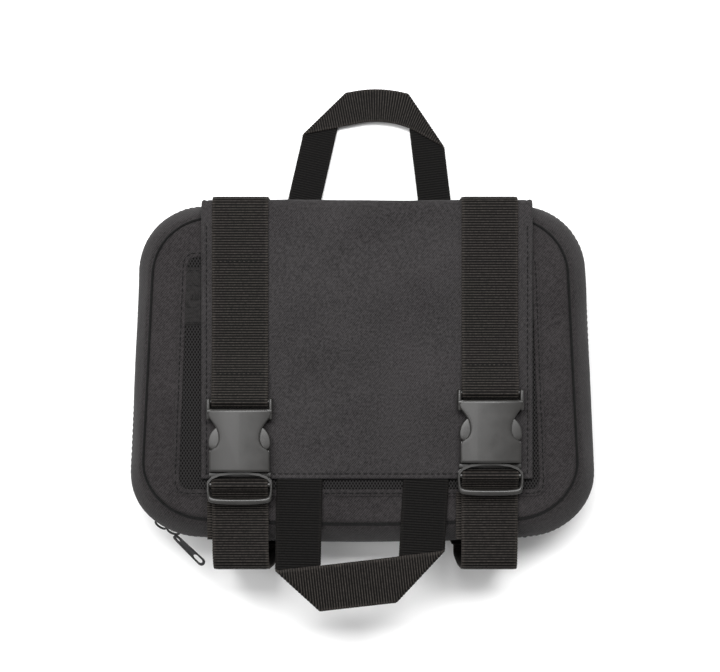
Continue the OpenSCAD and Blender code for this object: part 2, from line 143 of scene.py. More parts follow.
def blotch(tree, coords, size, detail=3.0):
    tex = tree.nodes.new("ShaderNodeTexNoise")
    tex.inputs["Scale"].default_value = 1 / (size * MM)
    tex.inputs["Detail"].default_value = detail
    link(tree, coords, "Object", tex, "Vector")
    return tex


def tint(tree, target, value, dark, light):
    ramp = tree.nodes.new("ShaderNodeValToRGB")
    ramp.color_ramp.elements[0].color = (*dark, 1)
    ramp.color_ramp.elements[1].color = (*light, 1)
    tree.links.new(value, ramp.inputs["Fac"])
    socket = "Base Color" if "Base Color" in target.inputs else "Color"
    link(tree, ramp, "Color", target, socket)
    return ramp


def relief(tree, bsdf, height, strength, distance):
    bump = tree.nodes.new("ShaderNodeBump")
    bump.inputs["Strength"].default_value = strength
    bump.inputs["Distance"].default_value = distance * MM
    tree.links.new(height, bump.inputs["Height"])
    link(tree, bump, "Normal", bsdf, "Normal")


def scaled(colour, k):
    return tuple(c * k for c in colour)


def cloth(name, colour, period=1.15, rough=0.85, spread=0.9):
    """Plain weave: two crossed sets of threads, uneven yarns and slow shade changes."""
    mat, tree, bsdf, coords = shader(name, colour, rough, sheen=0.03, specular=0.08)
    warp, weft = bands(tree, coords, period, 38), bands(tree, coords, period * 0.8, -52)
    weave = math_node(tree, "MULTIPLY", (warp, "Fac"), (weft, "Fac"))
    lint, slow = blotch(tree, coords, 1.3, 4), blotch(tree, coords, 30)
    speck = math_node(tree, "SUBTRACT", (lint, "Fac"), 0.5)
    mixed = math_node(tree, "MULTIPLY_ADD", (weave, 0), 0.55, (speck, 0))
    shade = math_node(tree, "MULTIPLY_ADD", (slow, "Fac"), 0.35, (mixed, 0))
    level = math_node(tree, "ADD", (shade, 0), 0.18)
    tint(tree, bsdf, level.outputs[0], scaled(colour, 1 - spread), scaled(colour, 1 + spread))
    relief(tree, bsdf, mixed.outputs[0], 0.5, 0.2)
    return mat


def webbing_cloth(name, colour, groove=0.1, crest=2.6):
    """The ribs are in the mesh. The material paints shade into the grooves between them and a highlight onto their
    crests, and adds yarns and lint.
    """
    mat, tree, bsdf, coords = shader(name, colour, 0.62, sheen=0.02, specular=0.07)
    rib = tree.nodes.new("ShaderNodeAttribute")
    rib.attribute_name = "rib"
    lint, yarn = blotch(tree, coords, 1.1, 4), bands(tree, coords, 0.95)
    speck = math_node(tree, "MULTIPLY_ADD", (lint, "Fac"), 1.1, -0.1)
    # Painted light on the ribs: painted shade in the grooves, painted highlight on the crests
    crest_light_mask = math_node(tree, "POWER", (rib, "Fac"), 5.0)
    rib_light_and_shade = math_node(tree, "MULTIPLY", (crest_light_mask, 0), (speck, 0))
    tint(tree, bsdf, rib_light_and_shade.outputs[0], scaled(colour, groove), scaled(colour, crest))
    both = math_node(tree, "MULTIPLY_ADD", (yarn, "Fac"), 0.5, (lint, "Fac"))
    relief(tree, bsdf, both.outputs[0], 0.5, 0.2)
    return mat


def mesh_cloth(name, thread, hole):
    """Knitted mesh: threads round rows of holes."""
    mat, tree, bsdf, coords = shader(name, thread, 0.75, specular=0.07)
    steep, flat = (bands(tree, coords, 1.5, turn) for turn in (32, -32))
    cells = math_node(tree, "MULTIPLY", (steep, "Fac"), (flat, "Fac"))
    ramp = tint(tree, bsdf, cells.outputs[0], thread, hole)
    ramp.color_ramp.elements[0].position = 0.22
    ramp.color_ramp.elements[1].position = 0.42
    inverse = math_node(tree, "SUBTRACT", 1.0, (cells, 0))
    relief(tree, bsdf, inverse.outputs[0], 0.9, 0.6)
    return mat


def moulded(name, colour, rough):
    """Satin moulded plastic with a fine grain and faint handling marks."""
    mat, tree, bsdf, coords = shader(name, colour, rough, specular=0.42, coat=0.04)
    grain, wear = blotch(tree, coords, 0.35, 2), blotch(tree, coords, 7, 5)
    tint(tree, bsdf, wear.outputs["Fac"], scaled(colour, 0.82), scaled(colour, 1.2))
    gloss = tree.nodes.new("ShaderNodeMapRange")
    gloss.inputs["To Min"].default_value = rough - 0.06
    gloss.inputs["To Max"].default_value = rough + 0.12
    link(tree, wear, "Fac", gloss, "Value")
    link(tree, gloss, "Result", bsdf, "Roughness")
    relief(tree, bsdf, grain.outputs["Fac"], 0.12, 0.05)
    return mat


def painted(name, colour):
    """Painted zip metal with small worn spots."""
    mat, tree, bsdf, coords = shader(name, colour, 0.3, metallic=0.4, specular=0.5, coat=0.2)
    wear = blotch(tree, coords, 2.5, 5)
    tint(tree, bsdf, wear.outputs["Fac"], scaled(colour, 0.7), scaled(colour, 1.5))
    relief(tree, bsdf, wear.outputs["Fac"], 0.1, 0.08)
    return mat


BODY = (0.0200, 0.0182, 0.0187)
MATS = {
    "body": cloth("body_fabric", BODY),
    "flap": cloth("flap_fabric", (0.0243, 0.0226, 0.0232), period=1.0),
    "seam": cloth("seam", (0.006, 0.006, 0.006), period=0.8),
    "tape": cloth("zip_tape", (0.014, 0.0132, 0.0132), period=0.9),
    # Webbing and elastic get painted shade in their rib grooves and a painted highlight on their crests; the
    # webbing's last two numbers set how much
    "webbing": webbing_cloth("webbing", (0.0165, 0.0144, 0.0128), 0.02, 4.6),
    "elastic": webbing_cloth("elastic", (0.012, 0.012, 0.012)),
    "mesh": mesh_cloth("mesh", (0.016, 0.0153, 0.0153), (0.0015, 0.0015, 0.0015)),
    "coil": moulded("zip_coil", (0.012, 0.012, 0.012), 0.4),
    "thread": cloth("thread", (0.005, 0.005, 0.005), period=0.6, rough=0.6),
    "buckle": moulded("buckle_plastic", (0.017, 0.0162, 0.0152), 0.36),
    "metal": painted("zip_metal", (0.010, 0.010, 0.011)),
}


# -------- mesh helpers

def piece(name, verts, faces, mat):
    """A mesh object from points in millimetres."""
    mesh = bpy.data.meshes.new(name)
    mesh.from_pydata([tuple(p) for p in np.asarray(verts, float) * MM], [], faces)
    mesh.validate()
    work = bmesh.new()
    work.from_mesh(mesh)
    bmesh.ops.recalc_face_normals(work, faces=work.faces)
    work.to_mesh(mesh)
    work.free()
    mesh.materials.append(MATS[mat])
    mesh.polygons.foreach_set("use_smooth", [True] * len(mesh.polygons))
    obj = bpy.data.objects.new(name, mesh)
    bpy.context.collection.objects.link(obj)
    return obj


def grid_faces(rows, cols, wrap_rows=False, wrap_cols=False, base=0):
    faces = []
    for i in range(rows if wrap_rows else rows - 1):
        for j in range(cols if wrap_cols else cols - 1):
            a, b = base + i * cols + j, base + i * cols + (j + 1) % cols
            k = ((i + 1) % rows) * cols
            faces.append((a, b, base + k + (j + 1) % cols, base + k + j))
    return faces


def rod_faces(rows, cols, base=0):
    """Faces of a loft through closed sections, with a flat cap at each end."""
    caps = [tuple(base + row * cols + k for k in range(cols)) for row in (0, rows - 1)]
    return grid_faces(rows, cols, wrap_cols=True, base=base) + caps


def surface_normals(grid):
    n = np.cross(np.gradient(grid, axis=0), np.gradient(grid, axis=1))
    return n / np.maximum(np.linalg.norm(n, axis=2, keepdims=True), 1e-9)


def looks_away(grid, axis=2, way=1):
    """True if the grid's own normals point against an axis, or with it where way is -1."""
    return bool(surface_normals(grid)[2, 2, axis] * way < 0)


def slab(name, grid, thick, mat, axis=2, way=1):
    """A sheet of cloth with thickness: the grid is its outer face, which looks along the axis."""
    rows, cols = grid.shape[:2]
    n = surface_normals(grid) * (-1 if looks_away(grid, axis, way) else 1)
    faces, size = grid_faces(rows, cols), rows * cols
    faces += [tuple(size + k for k in reversed(f)) for f in faces]
    edge = list(range(cols)) + [i * cols + cols - 1 for i in range(1, rows)]
    edge += [(rows - 1) * cols + j for j in range(cols - 2, -1, -1)] + [i * cols for i in range(rows - 2, 0, -1)]
    faces += [(a, b, size + b, size + a) for a, b in zip(edge, edge[1:] + edge[:1])]
    return piece(name, np.vstack([grid.reshape(-1, 3), (grid - n * thick).reshape(-1, 3)]), faces, mat)


def wrinkle(points, size, amount, seed=0.0):
    """Smooth uneven offset for cloth, one value for each point."""
    flat = points.reshape(-1, 3)
    off = [noise.noise(Vector((p[0] / size + seed, p[1] / size - seed, p[2] / size))) for p in flat]
    return (np.array(off) * amount).reshape(points.shape[:-1])


# Steps round each corner of the outline, along its top and bottom, and along its sides
ARC_N, LONG_N, SHORT_N = 14, 44, 26


def ring(size, inset=0.0, mid=(0, 0), z=0.0, lean=LEAN):
    """Points round an outline of the case, anticlockwise from its top left; the sides lean in towards the top."""
    w, h, r = size[0] - 2 * inset, size[1] - 2 * inset, size[2] - inset
    low_x, top_x, cy = w / 2 - r, w / 2 - r - lean, h / 2 - r
    tilt = math.degrees(math.atan2(lean, 2 * cy))
    corners = [(-top_x, cy, 90, 180 - tilt, SHORT_N), (-low_x, -cy, 180 - tilt, 270, LONG_N),
               (low_x, -cy, 270, 360 + tilt, SHORT_N), (top_x, cy, tilt, 90, LONG_N)]
    arcs = []
    for cx, yy, a0, a1, _ in corners:
        angles = [math.radians(a0 + (a1 - a0) * k / ARC_N) for k in range(ARC_N + 1)]
        arcs.append([(cx + r * math.cos(a), yy + r * math.sin(a)) for a in angles])
    pts = []
    for k, arc in enumerate(arcs):
        pts += arc[:-1]
        (ax, ay), (bx, by) = arc[-1], arcs[(k + 1) % 4][0]
        count = corners[k][4]
        pts += [(ax + (bx - ax) * t / count, ay + (by - ay) * t / count) for t in range(count)]
    low = [max(0.0, min(1.0, -y / (h / 2))) for _, y in pts]
    rise = [BOW * f * f * min(1.0, abs(x) / (w / 2)) ** 2 for f, (x, _) in zip(low, pts)]
    return np.array([(x + mid[0], y + up + mid[1], z) for up, (x, y) in zip(rise, pts)])


def ring_loft(name, sections, mat):
    """A closed loft through rings, first to last and back to the first."""
    grid = np.array(sections)
    rows, cols = grid.shape[:2]
    return piece(name, grid.reshape(-1, 3), grid_faces(rows, cols, True, True), mat)


RIB_HEIGHT = 0.26
RIB_HIGH, RIB_LOW = 0.4 * RIB_HEIGHT, -0.6 * RIB_HEIGHT


def rib_shade_share(rib, ribbed):
    """How far up its rib each point round a webbing's section lies, from 0 in the groove to 1 on the crest. The
    material turns this into painted shade in the grooves and a painted highlight on the crests.
    """
    share = (rib - RIB_LOW) / (RIB_HIGH - RIB_LOW)
    one = 1 - ribbed + ribbed * share
    return np.concatenate([one, one[::-1]])


def strap_mesh(name, loops, shares, mat):
    """A strap through closed sections. Its material reads the rib height stored here to paint shade into the
    grooves and a highlight onto the crests.
    """
    grid = np.array(loops)
    rows, cols = grid.shape[:2]
    faces = grid_faces(rows, cols, wrap_cols=True)
    for base in (0, (rows - 1) * cols):
        faces += [(base + k, base + k + 1, base + cols - 2 - k, base + cols - 1 - k) for k in range(cols // 2 - 1)]
    obj = piece(name, grid.reshape(-1, 3), faces, mat)
    values = np.concatenate(shares).astype(np.float32)
    obj.data.attributes.new("rib", "FLOAT", "POINT").data.foreach_set("value", values)
    return obj


def ribbon(name, centre, across, width, thick, mat):
    """A strap along centre, with its width along the unit vector across; ribs run across it."""
    across = np.array(across, float)
    along = np.gradient(centre, axis=0)
    along /= np.linalg.norm(along, axis=1, keepdims=True)
    ribs = RIB_HEIGHT * (np.abs(np.cos(np.arange(len(centre)) * math.pi / 4)) - 0.6)
    spots = np.array([-1, -0.985, -0.93, -0.86, -0.5, 0, 0.5, 0.86, 0.93, 0.985, 1])
    depth = np.array([0.45, 0.8, 0.95, 1, 1, 1, 1, 1, 0.95, 0.8, 0.45])
    ribbed = np.array([0.2, 0.5, 0.5, 1, 1, 1, 1, 1, 0.5, 0.5, 0.2])
    loops = []
    for middle, normal, rib in zip(centre, np.cross(along, across), ribs):
        side = middle + np.outer(spots * (width / 2 + min(rib, 0)), across)
        lift = np.outer(thick / 2 * depth + rib * ribbed, normal)
        loops.append(np.vstack([side + lift, (side - lift)[::-1]]))
    return strap_mesh(name, loops, [rib_shade_share(rib, ribbed) for rib in ribs], mat)


def run_along(path):
    """Distance along a path to each of its points."""
    return np.concatenate([[0], np.cumsum(np.linalg.norm(np.diff(path, axis=0), axis=1))])


def points_at(at, marks, path):
    """Points of a path where its marks, such as distances along it, have the values in at."""
    return np.stack([np.interp(at, marks, column) for column in np.asarray(path, float).T], axis=-1)


def resample(points, step):
    marks = run_along(points)
    return points_at(np.linspace(0, marks[-1], max(3, int(round(marks[-1] / step)) + 1)), marks, points)


def full_turn(count):
    return np.linspace(0, 2 * math.pi, count, endpoint=False)


def arc(y, z, radius, degrees):
    """Points (y, z) on an arc, with angles from +Y towards +Z."""
    return [(y + radius * math.cos(math.radians(a)), z + radius * math.sin(math.radians(a))) for a in degrees]


def tube_shape(path, radius, sides=14, closed=False):
    """Vertices and faces of a round tube along a path that stays near level."""
    path = np.asarray(path, float)
    along = np.roll(path, -1, 0) - np.roll(path, 1, 0) if closed else np.gradient(path, axis=0)
    along /= np.linalg.norm(along, axis=1, keepdims=True)
    verts = []
    for p, t in zip(path, along):
        side = np.cross(t, (0.0, 0.0, 1.0))
        side /= np.linalg.norm(side)
        lift = np.cross(side, t)
        verts += [p + radius * (math.cos(a) * side + math.sin(a) * lift) for a in full_turn(sides)]
    faces = grid_faces(len(path), sides, True, True) if closed else rod_faces(len(path), sides)
    return np.array(verts), faces


def stitches(name, paths, pitch=3.4, length=2.3, radius=0.26):
    """Rows of separate stitches laid along paths: short raised threads with pointed ends."""
    verts, faces = [], []
    corners = [(math.cos(a), math.sin(a)) for a in full_turn(6)]
    for path in paths:
        marks = run_along(path)
        for start in np.arange(int(marks[-1] / pitch)) * pitch:
            a, b = points_at(start, marks, path), points_at(start + length, marks, path)
            t = (b - a) / max(np.linalg.norm(b - a), 1e-9)
            side = np.cross(t, (0.0, 0.0, 1.0))
            side /= max(np.linalg.norm(side), 1e-9)
            lift = np.cross(side, t)
            faces += rod_faces(4, 6, base=len(verts))
            for f, fat in ((0.0, 0.35), (0.25, 1.0), (0.75, 1.0), (1.0, 0.35)):
                verts += [a + (b - a) * f + radius * fat * (cx * side + cy * lift) for cx, cy in corners]
    return piece(name, verts, faces, "thread")


def finish_piece(obj, body, slot, *nodes):
    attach(obj, body)
    if nodes:
        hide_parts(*nodes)
    return obj


def blended(obj, a, b, start, end, slot, *nodes):
    """Cloth or webbing across a joint, baked in place, with the parts that it stands for hidden. start and end are
    in millimetres and are not used.
    """
    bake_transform(obj)
    if nodes:
        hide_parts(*nodes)
    return obj


# -------- case shells

# Width, height and corner radius of each outline
CASE = CASE_W, CASE_H, CASE_R
TAPE = CASE_W - 1.2, CASE_H - 1.2, CASE_R - 0.6
BACK = REAR_SEAM[1][0] * 2, REAR_SEAM[1][1] * 2, 35.9
FRONT = (*(FRONT_SEAM[1] - FRONT_SEAM[0])[:2], 33.9)
# Thickness of the side walls, and width of the seams
WALL, SEAM_T = 2.5, 1.8
REAR_TAPE_Z, FRONT_TAPE_Z = ([corner[2] for corner in node_box(n)] for n in ("rear_zip_tape", "front_zip_tape"))


def gusset(name, small, big, z_small, z_big, mid, body, node, seed):
    """A padded side wall: a rounded shoulder at the seam, a soft belly, then the zip tape, with its lining."""
    steps = 18
    outer, inner = [], []
    way = 1 if z_big > z_small else -1
    for k in range(steps + 1):
        t = k / steps
        ease = math.sin(t * math.pi / 2) ** 0.85
        shoulder = 1.3 * max(0.0, 1 - t * 9) ** 2
        z = z_small + (z_big - z_small) * t + way * shoulder * 0.6
        w, h, r = (small[i] + (big[i] - small[i]) * ease for i in range(3))
        centre = (mid[0] * (1 - ease), mid[1] * (1 - ease))
        section = ring((w - shoulder, h - shoulder, r), 0, centre, z)
        out = section - np.array([*centre, z])
        out /= np.linalg.norm(out, axis=1, keepdims=True)
        belly = math.sin(t * math.pi)
        push = wrinkle(section, 30, 1.1, seed) * belly + wrinkle(section, 9, 0.25, seed) * belly
        section[:, :2] += out[:, :2] * push[:, None]
        outer.append(section)
        inner.append(ring((w, h, r), WALL, centre, z))
    return finish_piece(ring_loft(name, outer + inner[::-1], "body"), body, "body_fabric", node)


def panel(name, size, mid, z_low, z_high, dome, body, node, seed):
    """A padded panel made of nested rings, so its rounded edge follows the seam exactly."""
    shares = [1, 0.993, 0.985, 0.97, 0.95, 0.92, 0.88, 0.83, 0.77, 0.7, 0.62, 0.54, 0.45, 0.36, 0.27, 0.18, 0.08]
    w, h, r = size
    sides = []
    for top in (False, True):
        layer = []
        for f in shares:
            edge = min(1.0, (1 - f) * 22)
            section = ring((w * f, h * f, max(r * f, 0.5)), 0, mid, 0, LEAN * f)
            rounding = 1.1 * (1 - math.sqrt(1 - (1 - edge) ** 2))
            if top:
                section[:, 2] = z_high - rounding + dome * (1 - f ** 2)
                section[:, 2] += (wrinkle(section, 34, 0.55, seed) + wrinkle(section, 12, 0.2, seed)) * edge
            else:
                section[:, 2] = z_low + rounding * 0.5
            layer.append(section)
        sides.append(layer)
    grid = np.array(sides[0][::-1] + sides[1])
    obj = piece(name, grid.reshape(-1, 3), rod_faces(*grid.shape[:2]), "body")
    return finish_piece(obj, body, "body_fabric", node)


def case_shells():
    gusset("rear_side_wall", BACK, TAPE, BACK_T - 0.6, REAR_TAPE_Z[0] + 0.4, (0, 0), "case", "rear_gusset", 3.0)
    gusset("front_side_wall", FRONT, TAPE, FRONT_Z - 1.0, FRONT_TAPE_Z[1] - 0.4, FRONT_MID, "lid", "front_gusset",
           7.0)
    inset = 2 * SEAM_T - 0.2
    back, front = ((w - inset, h - inset, r - SEAM_T) for w, h, r in (BACK, FRONT))
    panel("back_pad", back, (0, 0), 0, BACK_T, 0.0, "case", "back_panel", 5.0)
    panel("front_pad", front, FRONT_MID, FRONT_Z - WALL, FRONT_Z - 0.4, 0.5, "lid", "front_panel", 9.0)


def seam_welt(name, size, mid, z, body, node):
    """The bound seam, sunk between a panel and its side wall."""
    shape = tube_shape(ring(size, SEAM_T / 2, mid, z), 0.75, sides=10, closed=True)
    return finish_piece(piece(name, *shape, "seam"), body, "seam_binding", node)


def seams():
    seam_welt("rear_seam_welt", BACK, (0, 0), 1.2, "case", "rear_seam")
    seam_welt("front_seam_welt", FRONT, FRONT_MID, FRONT_Z - 1.7, "lid", "front_seam")


def tape(name, z0, z1, body, node):
    """The woven tape beside a coil, from z0 to z1, with softly rounded edges."""
    outer = [ring(TAPE, inset, z=z)
             for z, inset in ((z0, 0.5), (z0 + 0.5, 0), ((z0 + z1) / 2, -0.2), (z1 - 0.4, 0), (z1, 0.3))]
    inner = [ring(TAPE, 1.2, z=z) for z in (z1, z0)]
    return finish_piece(ring_loft(name, outer + inner, "tape"), body, "zip_tape", node)


# Pitch of the teeth
TOOTH = 1.6


def coil(name, z0, z1, shift, body, node):
    """Nylon teeth round both sides and the bottom, stopping at the cloth over the top."""
    path = ring(CASE, 1.2)
    path = np.vstack([path, path[:1]])[:, :2]
    marks = run_along(path)
    verts, faces = [], []
    for k in range(int(marks[-1] / TOOTH)):
        at = (k + shift) * TOOTH
        p, q = points_at(at, marks, path), points_at(at + 0.2, marks, path)
        if p[1] > 60 and WRAP_LOW[0] < p[0] < WRAP_HIGH[0]:
            continue
        t = (q - p) / np.linalg.norm(q - p)
        n = np.array([t[1], -t[0]])
        faces += rod_faces(4, 8, base=len(verts))
        for f in (-0.62, -0.35, 0.35, 0.62):
            slim = 1 if abs(f) < 0.5 else 0.62
            for a in range(8):
                turn = math.pi / 4 * a + math.pi / 8
                x, y = p + t * f + n * (1.35 * slim * math.cos(turn) - 0.45)
                verts.append((x, y, (z0 + z1) / 2 + (z1 - z0) / 2 * slim * math.sin(turn)))
    return finish_piece(piece(name, verts, faces, "coil"), body, "zip_coil", node)


def zips():
    tape("rear_tape", REAR_TAPE_Z[0], REAR_TAPE_Z[1] + 0.3, "case", "rear_zip_tape")
    tape("front_tape", FRONT_TAPE_Z[0] - 0.3, FRONT_TAPE_Z[1], "lid", "front_zip_tape")
    coil("rear_coil", ZIP_LOW[0][2], ZIP_Z + 0.1, 0.0, "case", "rear_zip_coil")
    coil("front_coil", ZIP_Z - 0.1, ZIP_HIGH[1][2], 0.5, "lid", "front_zip_coil")
    for name, z, body in (("rear_tape_stitching", REAR_TAPE_Z[0] + 1.4, "case"),
                          ("front_tape_stitching", FRONT_TAPE_Z[1] - 1.4, "lid")):
        path = ring((TAPE[0] + 0.3, TAPE[1] + 0.3, CASE_R - 0.5), z=z)
        finish_piece(stitches(name, [np.vstack([path, path[:1]])]), body, "webbing")


# -------- front pocket

POCKET_LOW, POCKET_HIGH = node_box("pocket_frame")
BAND_LOW, BAND_HIGH = node_box("pocket_zip")
BIND = 4.0
# How far the nets and the zip band lie above the front panel
NET_LIFT, BAND_LIFT = 0.35, 0.8


def pocket_level(x, y, base):
    """Height of the pocket's cloth over the front panel: a slight crown with a few soft waves."""
    cx, cy = (POCKET_LOW[0] + POCKET_HIGH[0]) / 2, (POCKET_LOW[1] + POCKET_HIGH[1]) / 2
    across, up = (np.cos(np.clip(v, -1, 1) * math.pi / 2) for v in ((x - cx) / 122, (y - cy) / 84))
    spots = np.stack([x, y, np.zeros_like(x)], axis=-1)
    return base + 0.6 * (across * up) + wrinkle(spots, 30, 0.3, 4.0)


def pocket_edge(y, inset):
    """Left and right ends of the pocket at a height, inset from its outer edge."""
    share = (y - POCKET_LOW[1]) / (POCKET_HIGH[1] - POCKET_LOW[1])
    return POCKET_LOW[0] + inset + LEAN * share, POCKET_HIGH[0] - inset - LEAN * share


def laid_sheet(name, y0, y1, lift, thick, mat, slot, node):
    """A sheet laid on the front panel between two heights, its ends under the binding."""
    inset, count = BIND - 1.5, max(4, int((y1 - y0) / 2) + 1)
    xs = np.array([np.linspace(*pocket_edge(y, inset), 100) for y in np.linspace(y0, y1, count)])
    ys = np.repeat(np.linspace(y0, y1, count)[:, None], 100, 1)
    grid = np.stack([xs, ys, pocket_level(xs, ys, FRONT_Z + lift)], axis=-1)
    obj = finish_piece(slab(name, grid, thick, mat), "lid", slot, node)
    return obj


def settled(line, base):
    """The line with its heights laid on the pocket's surface."""
    line[:, 2] = pocket_level(line[:, 0], line[:, 1], base)
    return line


def pocket_loop(inset, lift, radius):
    """A closed line round the pocket with rounded corners, laid on its surface."""
    y0, y1 = POCKET_LOW[1] + inset, POCKET_HIGH[1] - inset
    corners = [(pocket_edge(y, inset)[end], y) for y, end in ((y0, 0), (y0, 1), (y1, 1), (y1, 0))]
    pts = []
    for k in range(4):
        here, back, on = (np.array(corners[(k + d) % 4]) for d in (0, -1, 1))
        a, b = here + unit(*(back - here)) * radius, here + unit(*(on - here)) * radius
        for t in np.linspace(0, 1, 7):
            pts.append((1 - t) ** 2 * a + 2 * t * (1 - t) * here + t ** 2 * b)
    return settled(resample([(*p, 0) for p in pts + pts[:1]], 1.5), lift)


def front_pocket():
    y0, y1 = POCKET_LOW[1] + BIND, POCKET_HIGH[1] - BIND
    laid_sheet("pocket_net_upper", BAND_HIGH[1] - 3, y1 + 2, NET_LIFT, 0.4, "mesh", "mesh", "pocket_mesh_upper")
    laid_sheet("pocket_net_lower", y0 - 1.5, BAND_LOW[1] + 1, NET_LIFT, 0.4, "mesh", "mesh", "pocket_mesh_lower")
    laid_sheet("pocket_zip_band", BAND_LOW[1], BAND_HIGH[1], BAND_LIFT, 0.6, "tape", "zip_tape", "pocket_zip")
    count = 520
    outer, edge = (points_at(np.linspace(0, 1, count, endpoint=False), np.linspace(0, 1, len(loop)), loop)
                   for loop in (pocket_loop(0, FRONT_Z - 0.1, 9), pocket_loop(BIND, FRONT_Z + 0.55, 6)))
    profile = ((0.0, 0.0), (0.25, 0.28), (0.5, 0.42), (0.85, 0.52), (1.0, 0.3), (0.97, -0.2))
    rows = [settled(outer * (1 - share) + edge * share, FRONT_Z + NET_LIFT + lift) for share, lift in profile]
    top = np.vstack(rows)
    faces = [f for base in (0, len(top)) for f in grid_faces(len(profile), count, wrap_cols=True, base=base)]
    obj = piece("pocket_surround", np.vstack([top, top - (0, 0, 0.7)]), faces, "body")
    finish_piece(obj, "lid", "body_fabric", "pocket_frame")
    seam = stitches("pocket_seams", [pocket_loop(BIND - 2.3, FRONT_Z + 0.95, 7)], radius=0.32)
    finish_piece(seam, "lid", "body_fabric")
    mid = (BAND_LOW[1] + BAND_HIGH[1]) / 2
    teeth = [rounded_box((x - 0.55, mid - 2.0, FRONT_Z + 0.7), (x + 0.55, mid + 2.0, FRONT_Z + 1.6), 0.3, 1)
             for x in np.arange(*pocket_edge(mid, BIND + 3), TOOTH)]
    finish_piece(merged("pocket_coil", teeth, "tape"), "lid", "zip_coil")
    lines = [settled(resample([(x, y, 0) for x in pocket_edge(y, BIND + 1)], 2), FRONT_Z + 0.9)
             for y in (BAND_LOW[1] + 1.5, mid - 6, mid + 6, BAND_HIGH[1] - 1.5)]
    finish_piece(stitches("pocket_band_seams", lines), "lid", "zip_tape")
    low, high = node_box("pocket_slider")
    parts = [rounded_box((low[0], mid - 3, low[2] - 0.1), (low[0] + 8, mid + 3, high[2]), 0.5, 2),
             rounded_box((low[0] + 6, mid - 2.2, low[2] + 0.2), (high[0], mid + 2.2, high[2] - 0.1), 0.3, 2)]
    finish_piece(merged("pocket_slider_body", parts, "metal"), "pocket_slider", "zip_metal", "pocket_slider")


# -------- moulded and metal shapes

def rounded_box(low, high, radius, segments=3):
    """Vertices and faces of a box with rounded edges."""
    work = bmesh.new()
    low, high = np.array(low, float), np.array(high, float)
    size, mid = high - low, (low + high) / 2
    bmesh.ops.create_cube(work, size=1, matrix=Matrix.Translation(mid) @ Matrix.Diagonal((*size, 1)))
    bmesh.ops.bevel(work, geom=work.edges[:], offset=min(radius, size.min() * 0.45), segments=segments,
                    affect="EDGES", profile=0.5)
    work.verts.index_update()
    shape = (np.array([v.co[:] for v in work.verts]), [tuple(v.index for v in f.verts) for f in work.faces])
    work.free()
    return shape


def plate_from(outline, z0, z1, bevel, holes=()):
    """Vertices and faces of a flat moulding with rounded rims, cut from an outline with holes."""
    curve = bpy.data.curves.new("cut", "CURVE")
    curve.dimensions = "2D"
    curve.fill_mode = "BOTH"
    for loop in (outline, *holes):
        spline = curve.splines.new("POLY")
        spline.points.add(len(loop) - 1)
        for point, (x, y) in zip(spline.points, loop):
            point.co = (x, y, 0, 1)
        spline.use_cyclic_u = True
    curve.offset = -bevel
    curve.extrude = (z1 - z0) / 2 - bevel
    curve.bevel_depth = bevel
    curve.bevel_resolution = 2
    holder = bpy.data.objects.new("cut", curve)
    bpy.context.collection.objects.link(holder)
    mesh = bpy.data.meshes.new_from_object(holder.evaluated_get(bpy.context.evaluated_depsgraph_get()))
    work = bmesh.new()
    work.from_mesh(mesh)
    bmesh.ops.remove_doubles(work, verts=work.verts, dist=0.005)
    work.verts.index_update()
    verts = np.array([v.co[:] for v in work.verts]) + (0, 0, (z0 + z1) / 2)
    faces = [tuple(v.index for v in f.verts) for f in work.faces]
    work.free()
    bpy.data.objects.remove(holder)
    bpy.data.curves.remove(curve)
    bpy.data.meshes.remove(mesh)
    return verts, faces


def merged(name, shapes, mat):
    verts, faces, base = [], [], 0
    for v, f in shapes:
        verts.append(np.asarray(v, float))
        faces += [tuple(base + k for k in face) for face in f]
        base += len(v)
    obj = piece(name, np.vstack(verts), faces, mat)
    obj.data.set_sharp_from_angle(angle=math.radians(42))
    return obj


def soften(points):
    """Two rounds of Chaikin corner cutting of a closed outline."""
    pts = np.array(points, float)
    for _ in range(2):
        nxt = np.roll(pts, -1, 0)
        pts = np.stack([0.75 * pts + 0.25 * nxt, 0.25 * pts + 0.75 * nxt], axis=1).reshape(-1, 2)
    return pts


def moved(shape, offset):
    return shape[0] + np.array(offset, float), shape[1]


def crowned_plate(profile, z0, z1, crown, edge=1.1, rows=60):
    """A plate whose half width follows profile(y) and whose top is bowed across and rounded at its edges."""
    ys = np.linspace(profile[0][0], profile[-1][0], rows)
    halves = np.interp(ys, [p[0] for p in profile], [p[1] for p in profile])
    smooth = np.convolve(np.pad(halves, 2, mode="edge"), [0.1, 0.2, 0.4, 0.2, 0.1], "valid")
    widest = max(halves) - edge
    verts = []
    for k, (y, half) in enumerate(zip(ys, smooth)):
        end = min(k, rows - 1 - k)
        drop = edge * (1 - math.sqrt(1 - max(0, 1 - end / 2.0) ** 2)) * 0.8
        top = [(x * (half - edge), y, z1 - crown * (x * (half - edge) / widest) ** 2 - drop)
               for x in np.linspace(-1, 1, 13)]
        right = [(x, y, z) for x, z in arc(half - edge, top[-1][2] - edge, edge, (60, 30, 0))]
        left = [(-px, py, pz) for px, py, pz in right[::-1]]
        verts += top + right + [(x * half, y, z0) for x in (1, 0.5, 0, -0.5, -1)] + left
    return np.array(verts), rod_faces(rows, len(verts) // rows)


# Half width of the female half against the distance from its mouth
FEMALE_PROFILE = [(0, 16.7), (9, 16.9), (11.6, 16.8), (12.4, 15.8), (13.8, 13.0), (17.5, 11.4), (21, 11.6),
                  (23.9, 12.5), (27.6, 14.8), (30, 16.8), (31.8, 17.9), (34.9, 18.3)]


def cross_bar(y, z, half):
    return tube_shape([(-half, y, z), (0, y, z), (half, y, z)], BAR_R)


def buckle_part(name, side, shapes, body, node):
    """Shapes that are given from the middle of the strap and the female half's mouth, joined into one piece."""
    place = (STRAP_X[side], MOUTH_Y[side], 0)
    finish_piece(merged(name, [moved(shape, place) for shape in shapes], "buckle"), body, "buckle_plastic", node)


